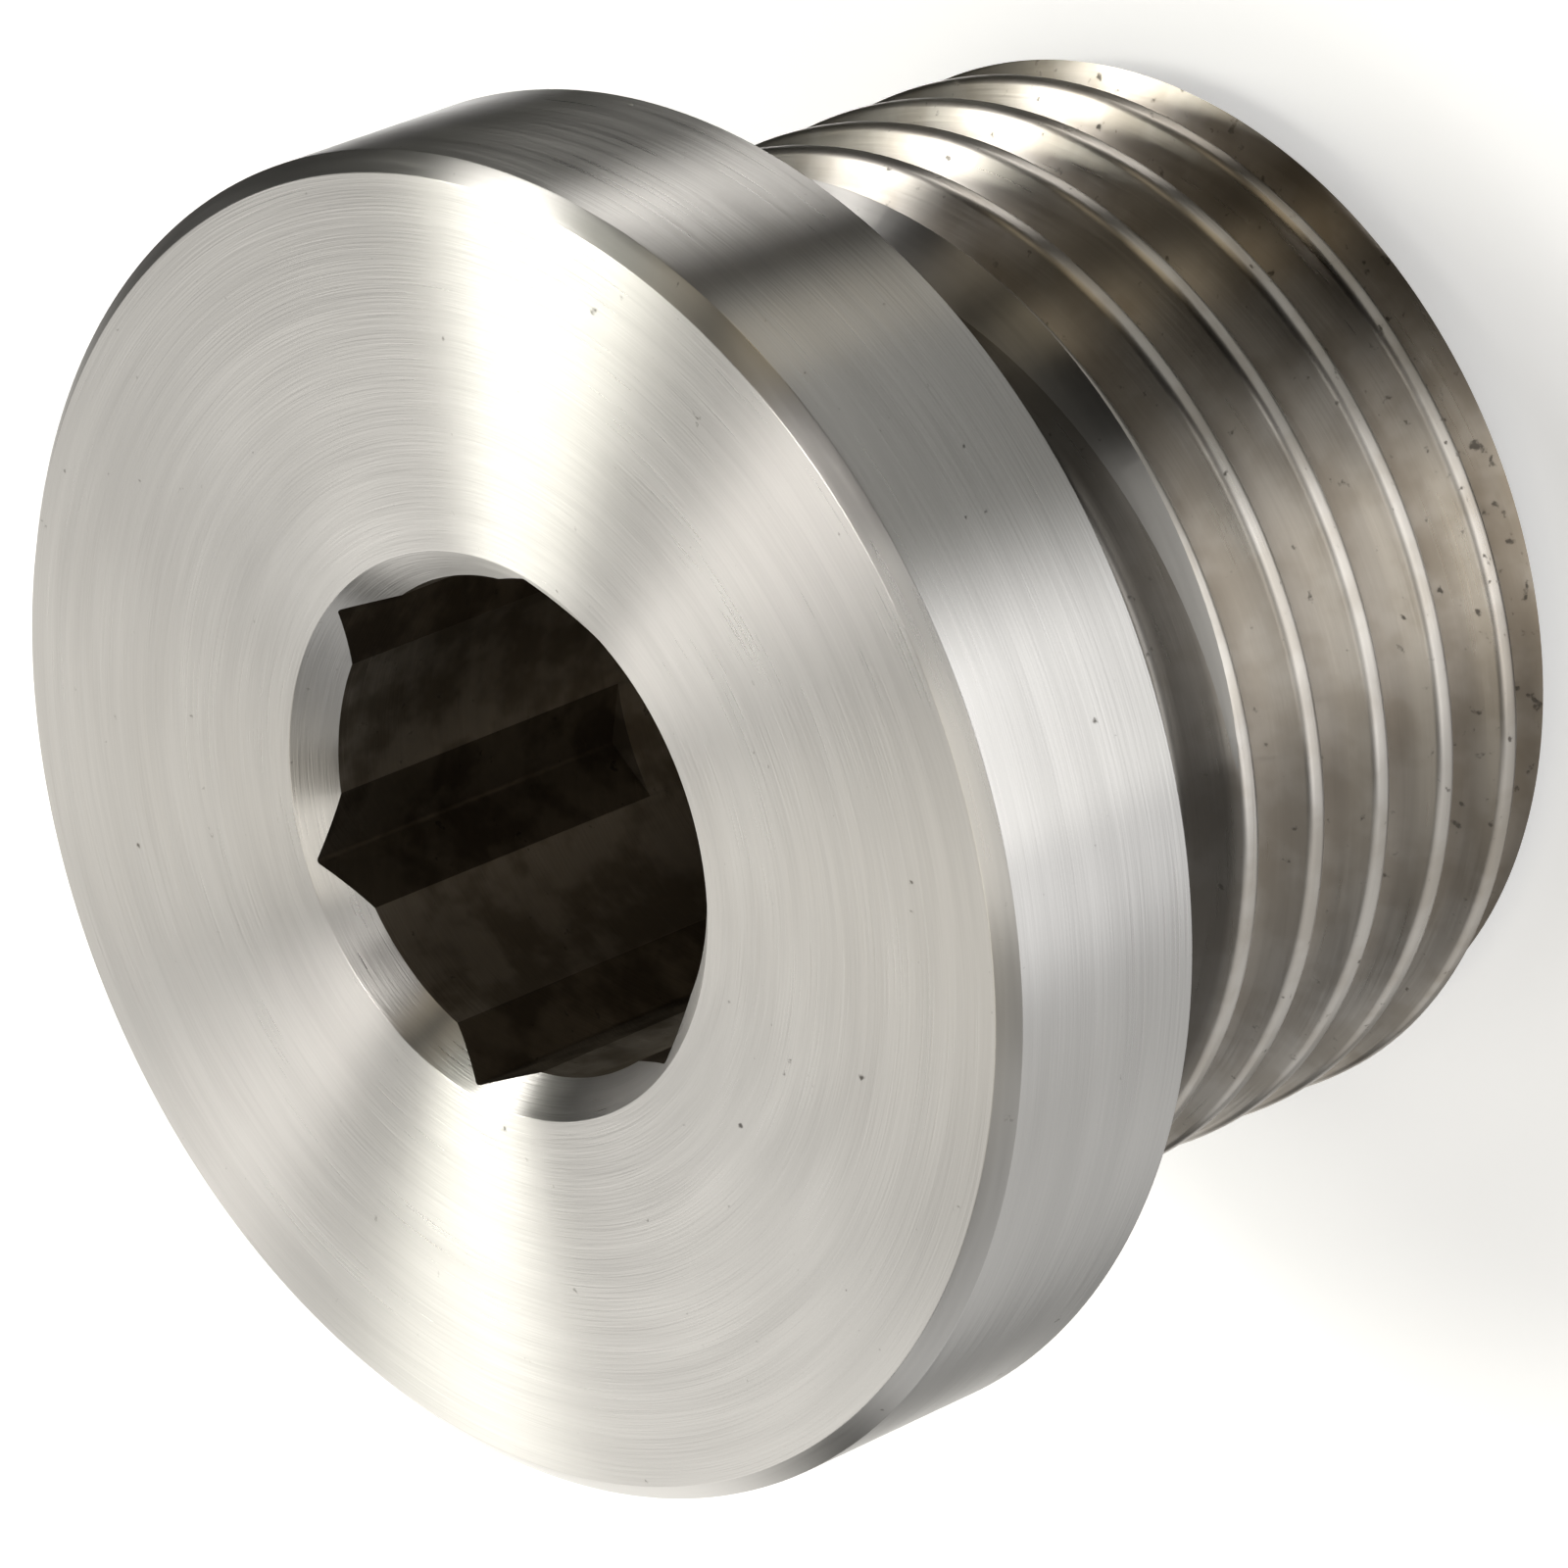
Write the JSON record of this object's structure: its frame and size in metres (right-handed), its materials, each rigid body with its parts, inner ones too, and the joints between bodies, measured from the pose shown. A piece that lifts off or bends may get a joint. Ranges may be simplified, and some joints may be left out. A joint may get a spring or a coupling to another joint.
{
  "type": "blanking plug",
  "caption": "Turned stainless blanking plug in one piece: a round flange with a hexagon socket, a relief groove and a chamfered straight pipe thread that closes a port.",
  "frame": {"origin": "centre of the flange's seating face, on the thread's axis", "axes": "+Z along the axis, out of the hexagon socket; the threaded shank points along -Z; +X through a corner of the hexagon"},
  "size_m": [0.026, 0.026, 0.0189],
  "materials": {
    "stainless_steel": "turned stainless steel with fine concentric tool marks, bright crests and a few dirt specks"
  },
  "bodies": {
    "root": {"plug_body": "stainless_steel"}
  },
  "joints": []
}
